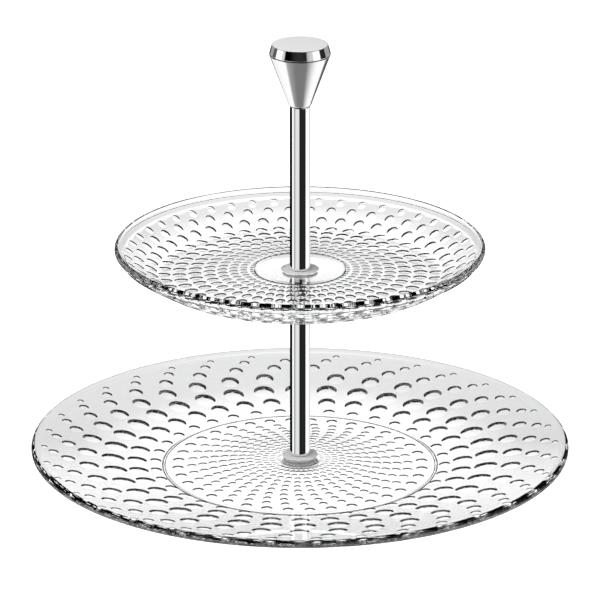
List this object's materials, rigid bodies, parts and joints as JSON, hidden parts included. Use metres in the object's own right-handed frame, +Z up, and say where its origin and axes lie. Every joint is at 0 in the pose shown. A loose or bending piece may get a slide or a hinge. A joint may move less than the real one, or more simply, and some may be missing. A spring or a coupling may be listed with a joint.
{
  "type": "tiered cake stand",
  "caption": "Two-tier serving stand: pressed-glass coupe plates with dimpled undersides, clamped on chromed tube rods under a conical metal knob.",
  "frame": {"origin": "on the stand's axis, at table level under the lower plate's foot ring", "axes": "+Z up along the rods; X and Y are horizontal and equivalent, since every piece is turned about +Z"},
  "size_m": [0.32, 0.32, 0.2656],
  "materials": {
    "lower_glass": "clear pressed glass, polished above and dimpled below",
    "upper_glass": "clear pressed glass, polished above and dimpled below",
    "chrome": "polished chrome plate",
    "satin_metal": "fine satin turned metal",
    "plated_steel": "zinc-plated steel",
    "silicone": "translucent soft silicone",
    "nylon": "natural white nylon"
  },
  "bodies": {
    "base": {"lower_plate": "lower_glass", "base_screw": "plated_steel", "base_gasket": "silicone", "lower_centring_sleeve": "nylon"},
    "lower_clamp_ring": {"lower_gasket": "silicone", "lower_washer": "chrome"},
    "middle": {"lower_rod": "chrome", "lower_rod_foot_insert": "plated_steel", "lower_rod_head_insert": "plated_steel", "support_washer": "chrome", "support_gasket": "silicone", "upper_centring_sleeve": "nylon", "upper_plate": "upper_glass", "joining_stud": "plated_steel"},
    "upper_clamp_ring": {"upper_gasket": "silicone", "upper_washer": "chrome"},
    "top_rod": {"upper_rod": "chrome", "upper_rod_foot_insert": "plated_steel", "upper_rod_head_insert": "plated_steel", "knob_stud": "plated_steel"},
    "knob_ring": {"knob_lock_washer": "plated_steel"},
    "knob": {"knob_body": "satin_metal", "knob_cap": "chrome", "knob_insert": "plated_steel"}
  },
  "joints": [
    {"name": "lower_rod_lift", "type": "slide", "parent": "base", "child": "lower_clamp_ring", "axis": [0, 0, 1], "range_m": [0, 0.008]},
    {"name": "lower_rod_turn", "type": "hinge", "parent": "lower_clamp_ring", "child": "middle", "pos_m": [0, 0, 0.0109], "axis": [0, 0, 1], "range_deg": [0, 2916]},
    {"name": "upper_rod_lift", "type": "slide", "parent": "middle", "child": "upper_clamp_ring", "axis": [0, 0, 1], "range_m": [0, 0.008]},
    {"name": "upper_rod_turn", "type": "hinge", "parent": "upper_clamp_ring", "child": "top_rod", "pos_m": [0, 0, 0.1277], "axis": [0, 0, 1], "range_deg": [0, 2916]},
    {"name": "knob_lift", "type": "slide", "parent": "top_rod", "child": "knob_ring", "axis": [0, 0, 1], "range_m": [0, 0.008]},
    {"name": "knob_turn", "type": "hinge", "parent": "knob_ring", "child": "knob", "pos_m": [0, 0, 0.2284], "axis": [0, 0, 1], "range_deg": [0, 2916]}
  ],
  "couplings": [
    {"joint": "lower_rod_turn", "follows": "lower_rod_lift", "rad_per_m": 6283.2},
    {"joint": "upper_rod_turn", "follows": "upper_rod_lift", "rad_per_m": 6283.2},
    {"joint": "knob_turn", "follows": "knob_lift", "rad_per_m": 6283.2}
  ]
}
